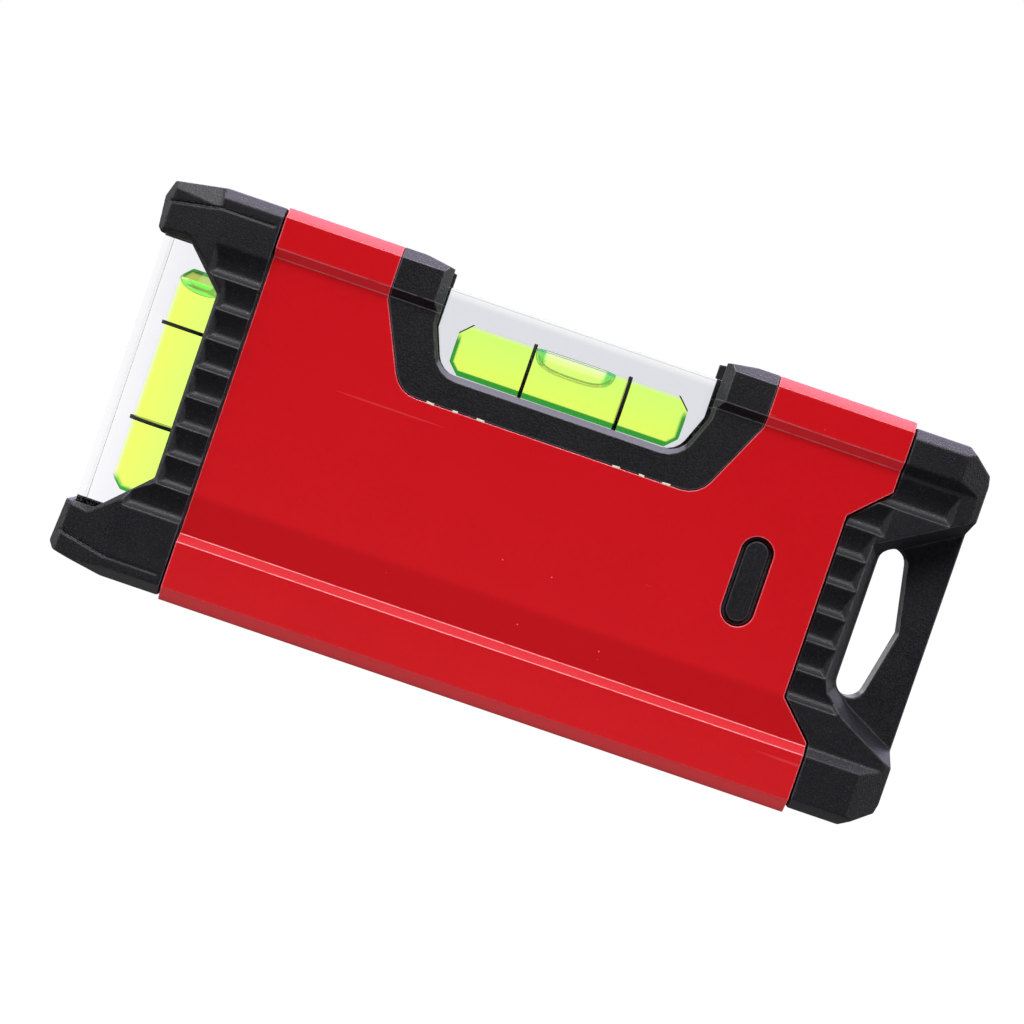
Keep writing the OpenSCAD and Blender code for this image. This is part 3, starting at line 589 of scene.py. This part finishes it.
def level_bubble(vial, material):
    """Long bubble under the top of the level chamber, hollowed by a dished meniscus. Its blunt ends
    droop a little, clear of the chamber's chamfers at the end of its travel."""
    low, high = (Vector(c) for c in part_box("level_vial_bubble"))
    half_l = (high.x - low.x) / 2
    depth = high.z - low.z
    r = vial.r - 0.02 * MM
    centre = Matrix.Translation(Vector(((low.x + high.x) / 2, 0, vial.place.translation.z)))
    dish = 0.113 / MM
    blunt = 3.0
    droop = 0.25 * MM

    def top(x, y):
        return sqrt(max(r * r - y * y, 0)) - droop * abs(x / half_l) ** 6

    def base(x, y):
        bowl = max(1 - abs(x / half_l) ** blunt, 0) ** (1 / blunt)
        return r - depth * bowl + dish * y * y
    bm = bmesh.new()
    lens(bm, top, base, half_l * 1.2, centre)
    obj = piece("level_vial_air", bm, material, ["level_vial_bubble"], "level_bubble")
    shade(obj, 35)


def plumb_bubble(vial, material):
    """Short bubble at the top end of the plumb chamber, with a domed meniscus below. The dome
    begins where the chamber's chamfer ends."""
    low, high = (Vector(c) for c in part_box("plumb_vial_bubble"))
    r = vial.r - 0.25 * MM
    top = vial.l - 0.06 * MM
    edge = top - CHAMBER_CHAMFER
    dome = high.z - low.z - CHAMBER_CHAMFER
    steps = 10
    profile = [(0, top), (r - CHAMBER_CHAMFER, top), (r, edge)]
    for i in range(1, steps):
        a = pi / 2 * i / steps
        profile.append((r * cos(a), edge - dome * sin(a)))
    profile.append((0, edge - dome))
    bm = bmesh.new()
    revolve(bm, profile, vial.place)
    obj = piece("plumb_vial_air", bm, material, ["plumb_vial_bubble"], "plumb_bubble")
    shade(obj, 35)


# ------------------------------------------------------------------ small parts
def bezel_shims(material):
    """Pale shims that show in the seam under each bezel, as three on either side of its middle."""
    low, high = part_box("front_vial_bezel")
    mid_x = (low[0] + high[0]) / 2
    seam_y = 10.74 * MM
    seam_z = low[2] + 1.95 * MM
    depth, height = 0.6 * MM, 0.42 * MM
    widths = (1.4 * MM, 1.0 * MM, 1.5 * MM)
    offsets = (-21.4 * MM, -16.9 * MM, -12.3 * MM, 12.3 * MM, 16.9 * MM, 21.4 * MM)
    skew = radians(3)
    for side, tag in ((-1, "front"), (1, "rear")):
        bm = bmesh.new()
        for k, offset in enumerate(offsets):
            place = Matrix.Translation(Vector((mid_x + offset, side * seam_y, seam_z)))
            turn = Matrix.Rotation(skew * (-1) ** k, 4, "Y")
            size = Matrix.Diagonal((widths[k % len(widths)], depth, height, 1))
            bmesh.ops.create_cube(bm, size=1.0, matrix=place @ turn @ size)
        soften(bm, 0.06 * MM)
        shade(piece(tag + "_bezel_shims", bm, material))


# ------------------------------------------------------------------ studio
def seen(s):
    """1 for rays from the eye, also where they come through clear plastic."""
    path = s.node("LightPath").outputs
    return s.math("MAXIMUM", path["Is Camera Ray"], path["Is Transmission Ray"])


def floor():
    """Pale paper. It lights the object only from close by, as the lamps' pools of light would show
    in its mirror faces. Those see a weak glow under the object instead."""
    s = Shader("floor_paper", WHITE)
    glossy = s.node("LightPath").outputs["Is Glossy Ray"]
    away = s.node("VectorMath", {"operation": "LENGTH"})
    s.feed(away.inputs[0], s.place)
    near = s.rise(away.outputs["Value"], 0.20, 0.09)
    lit = s.product(near, s.math("SUBTRACT", 1.0, s.math("MAXIMUM", glossy, seen(s))))
    paper = s.mix(s.noise(60 * MM, 2.0), (0.39, 0.39, 0.40), (0.43, 0.43, 0.43))
    diffuse = s.node("BsdfDiffuse", Color=s.mix(lit, (0.02, 0.02, 0.02), paper))
    y = s.math("ABSOLUTE", s.at("Y"))
    under = s.product(s.rise(y, 17 * MM, 11 * MM), 0.40)
    around = s.math("ADD", s.product(s.rise(y, 90 * MM, 50 * MM), 0.06), 0.015)
    glow = s.math("ADD", seen(s), s.product(glossy, s.math("ADD", under, around)))
    s.output(s.add(diffuse, s.node("Emission", Color=WHITE, Strength=glow)).outputs[0])
    bm = bmesh.new()
    bmesh.ops.create_grid(bm, x_segments=4, y_segments=4, size=6.0)
    mesh = bpy.data.meshes.new("floor")
    bm.to_mesh(mesh)
    bm.free()
    mesh.materials.append(s.material)
    obj = bpy.data.objects.new("floor", mesh)
    obj.location.z = -0.02 * MM
    bpy.context.scene.collection.objects.link(obj)


class WorldShader(Shader):
    """The same node building, for the world."""

    def __init__(self, name):
        world = bpy.data.worlds.new(name)
        bpy.context.scene.world = world
        world.use_nodes = True
        self.tree = world.node_tree
        self.tree.nodes.clear()
        self.place = self.node("TexCoord").outputs["Generated"]


def world():
    """White to the eye and through clear plastic. Mirror rays see a lavender sky above and behind,
    pale ends, and dark where the reading faces look."""
    s = WorldShader("studio")
    way = s.node("SeparateXYZ", Vector=s.place).outputs
    x, y, z = s.math("ABSOLUTE", way["X"]), way["Y"], way["Z"]
    sky = s.product(s.rise(y, -0.12, 0.12), s.rise(z, 0.35, 0.60), s.rise(x, 0.55, 0.25), 7.0)
    wide, narrow = s.product(s.rise(x, 0.50, 0.90), 0.6), s.product(s.rise(x, 0.72, 0.92), 2.5)
    ends = s.product(s.math("ADD", wide, narrow), s.rise(z, -0.1, 0.2))
    rear = s.product(s.rise(y, 0.80, 0.97), 0.9)
    pale = s.math("ADD", ends, s.math("ADD", rear, 0.012))
    mirrored = s.add(s.node("Background", Color=WHITE, Strength=pale),
                     s.node("Background", Color=(0.92, 0.84, 1.10, 1), Strength=sky))
    dome = s.node("Background", Color=s.ramp(z, (0.0, 0.0), (0.3, 0.01), (0.6, 0.10), (1.0, 0.20)))
    plain = s.node("Background", Color=WHITE, Strength=1.0)
    lighting = s.node("MixShader", Fac=s.node("LightPath").outputs["Is Glossy Ray"])
    s.feed(lighting.inputs[1], dome.outputs[0])
    s.feed(lighting.inputs[2], mirrored.outputs[0])
    mix = s.node("MixShader", Fac=seen(s))
    s.feed(mix.inputs[1], lighting.outputs[0])
    s.feed(mix.inputs[2], plain.outputs[0])
    s.feed(s.node("OutputWorld").inputs["Surface"], mix.outputs[0])


def softbox(name, place, power, size=(0.9, 0.5), reflected=False):
    """An area light that faces the object's middle. It shows in mirror faces only if reflected."""
    target = (Vector(cad_bounds[0]) + Vector(cad_bounds[1])) / 2
    light = bpy.data.lights.new(name, "AREA")
    light.shape = "RECTANGLE"
    light.size, light.size_y = size
    light.energy = power
    obj = bpy.data.objects.new(name, light)
    obj.location = place
    obj.rotation_euler = (target - Vector(place)).to_track_quat("-Z", "Y").to_euler()
    bpy.context.scene.collection.objects.link(obj)
    obj.visible_camera = False
    obj.visible_transmission = False
    obj.visible_glossy = reflected


def studio_lights():
    """A key light high on each side, which edges and scallops catch, and a soft light overhead."""
    softbox("front_key", (-0.10, -0.77, 1.02), 15.6, reflected=True)
    softbox("rear_key", (0.10, 0.77, 1.02), 9.0)
    softbox("overhead_softbox", (0, -0.12, 0.75), 2.0)
    for side, tag in ((-1, "left"), (1, "right")):
        softbox(tag + "_fill", (side * 1.0, -0.55, 0.25), 2.3, size=(0.6, 0.6))


def camera():
    """Looks at the reading face from the front, rolled so that the level leans on the picture."""
    place = Vector((-7.91, -540.1, 50.44)) * MM
    yaw, pitch, roll = radians(0.727), radians(-1.784), radians(18.92)
    forward = Vector((sin(yaw) * cos(pitch), cos(yaw) * cos(pitch), sin(pitch)))
    level_right = Vector((cos(yaw), -sin(yaw), 0))
    level_up = level_right.cross(forward)
    right = cos(roll) * level_right + sin(roll) * level_up
    up = -sin(roll) * level_right + cos(roll) * level_up
    data = bpy.data.cameras.new("camera")
    data.lens = 108.41
    data.sensor_width = 36
    data.clip_start = 0.01
    obj = bpy.data.objects.new("camera", data)
    turn = Matrix((right, up, -forward)).transposed().to_4x4()
    obj.matrix_world = Matrix.Translation(place) @ turn
    bpy.context.scene.collection.objects.link(obj)
    bpy.context.scene.camera = obj


# ------------------------------------------------------------------ assembly
def moulding_pieces():
    """Every piece that keeps the frame's form, with its edges rounded."""
    cap_tones = (0.0008, 0.0008, 0.0024), (0.0098, 0.0095, 0.0148)
    bezel_tones = (0.0010, 0.0010, 0.0025), (0.0085, 0.0082, 0.0120)
    hole_mid_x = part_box("box_body")[1][0] + 6 * MM
    cap = moulded("cap_plastic", *cap_tones)
    hang_cap = moulded("hang_cap_plastic", *cap_tones, lit_wall_x=hole_mid_x)
    bezel = moulded("bezel_plastic", *bezel_tones, grain=0.3 * MM, sill=True)
    inner = moulded("inner_plastic", (0.045, 0.045, 0.05), (0.07, 0.07, 0.075), grain=0.5 * MM)
    foam = dull("seat_foam", (0.10, 0.10, 0.11), (0.22, 0.22, 0.23), 0.35 * MM, (0.8, 0.95),
                (0.6, 0.08 * MM), detail=3.0)
    steel = metal("screw_steel", (0.60, 0.60, 0.61), 0.28)
    nickel = metal("magnet_nickel", (0.66, 0.64, 0.60), 0.22)

    refined("box_body", "body_extrusion", red_coat(), 0.14 * MM)
    melted("plumb_end_cap", "plumb_cap_moulding", cap)
    melted("hang_end_cap", "hang_cap_moulding", hang_cap)
    refined("lock_key", "lock_key_moulding", cap, 0.25 * MM)
    refined("front_vial_bezel", "front_bezel_moulding", bezel, 0.12 * MM)
    refined("rear_vial_bezel", "rear_bezel_moulding", bezel, 0.12 * MM)
    refined("level_vial_seat", "level_seat_strip", foam, 0.15 * MM)
    refined("plumb_vial_retainer", "plumb_retainer_moulding", inner, 0.12 * MM)
    refined("retainer_screws", "retainer_screw_pair", steel, 0.06 * MM)
    refined("base_magnets", "base_magnet_row", nickel, 0.25 * MM)
    refined("magnet_tray", "magnet_tray_moulding", inner, 0.2 * MM)


def vial_pieces():
    """Both vials: lines, liquid, clear block and bubble."""
    level = Vial("level", "X")
    plumb = Vial("plumb", "Z")
    ink = dull("line_ink", (0.002, 0.003, 0.002), (0.006, 0.008, 0.004), 0.3 * MM, (0.6, 0.8),
               (0.2, 0.02 * MM))
    for vial in (level, plumb):
        refined(vial.name + "_vial_marks", vial.name + "_vial_lines", ink, 0.03 * MM)
        vial_liquid_piece(vial, vial_liquid(vial))
    acrylic_block(level, acrylic(level, (0.77, 0.775, 0.82), ("Z", 1), 1.8 * MM, 1.49), 0)
    acrylic_block(plumb, acrylic(plumb, (0.89, 0.88, 0.925), ("X", -1), 3.6 * MM, 1.2), 1.2 * MM)
    low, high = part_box("level_vial_bubble")
    mid_x, half_l = (low[0] + high[0]) / 2, (high[0] - low[0]) / 2
    level_bubble(level, vial_air("level_air", "X", mid_x, half_l, 0.89, high[2]))
    low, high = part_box("plumb_vial_bubble")
    plumb_bubble(plumb, vial_air("plumb_air", "Z", high[2], high[2] - low[2], 0.75, high[2]))


moulding_pieces()
vial_pieces()
bezel_shims(dull("shim_paint", (0.85, 0.80, 0.66), (0.70, 0.62, 0.46), 0.4 * MM, (0.5, 0.7),
                 (0.3, 0.03 * MM)))
floor()
world()
studio_lights()
camera()
bpy.context.scene.view_settings.view_transform = "Standard"
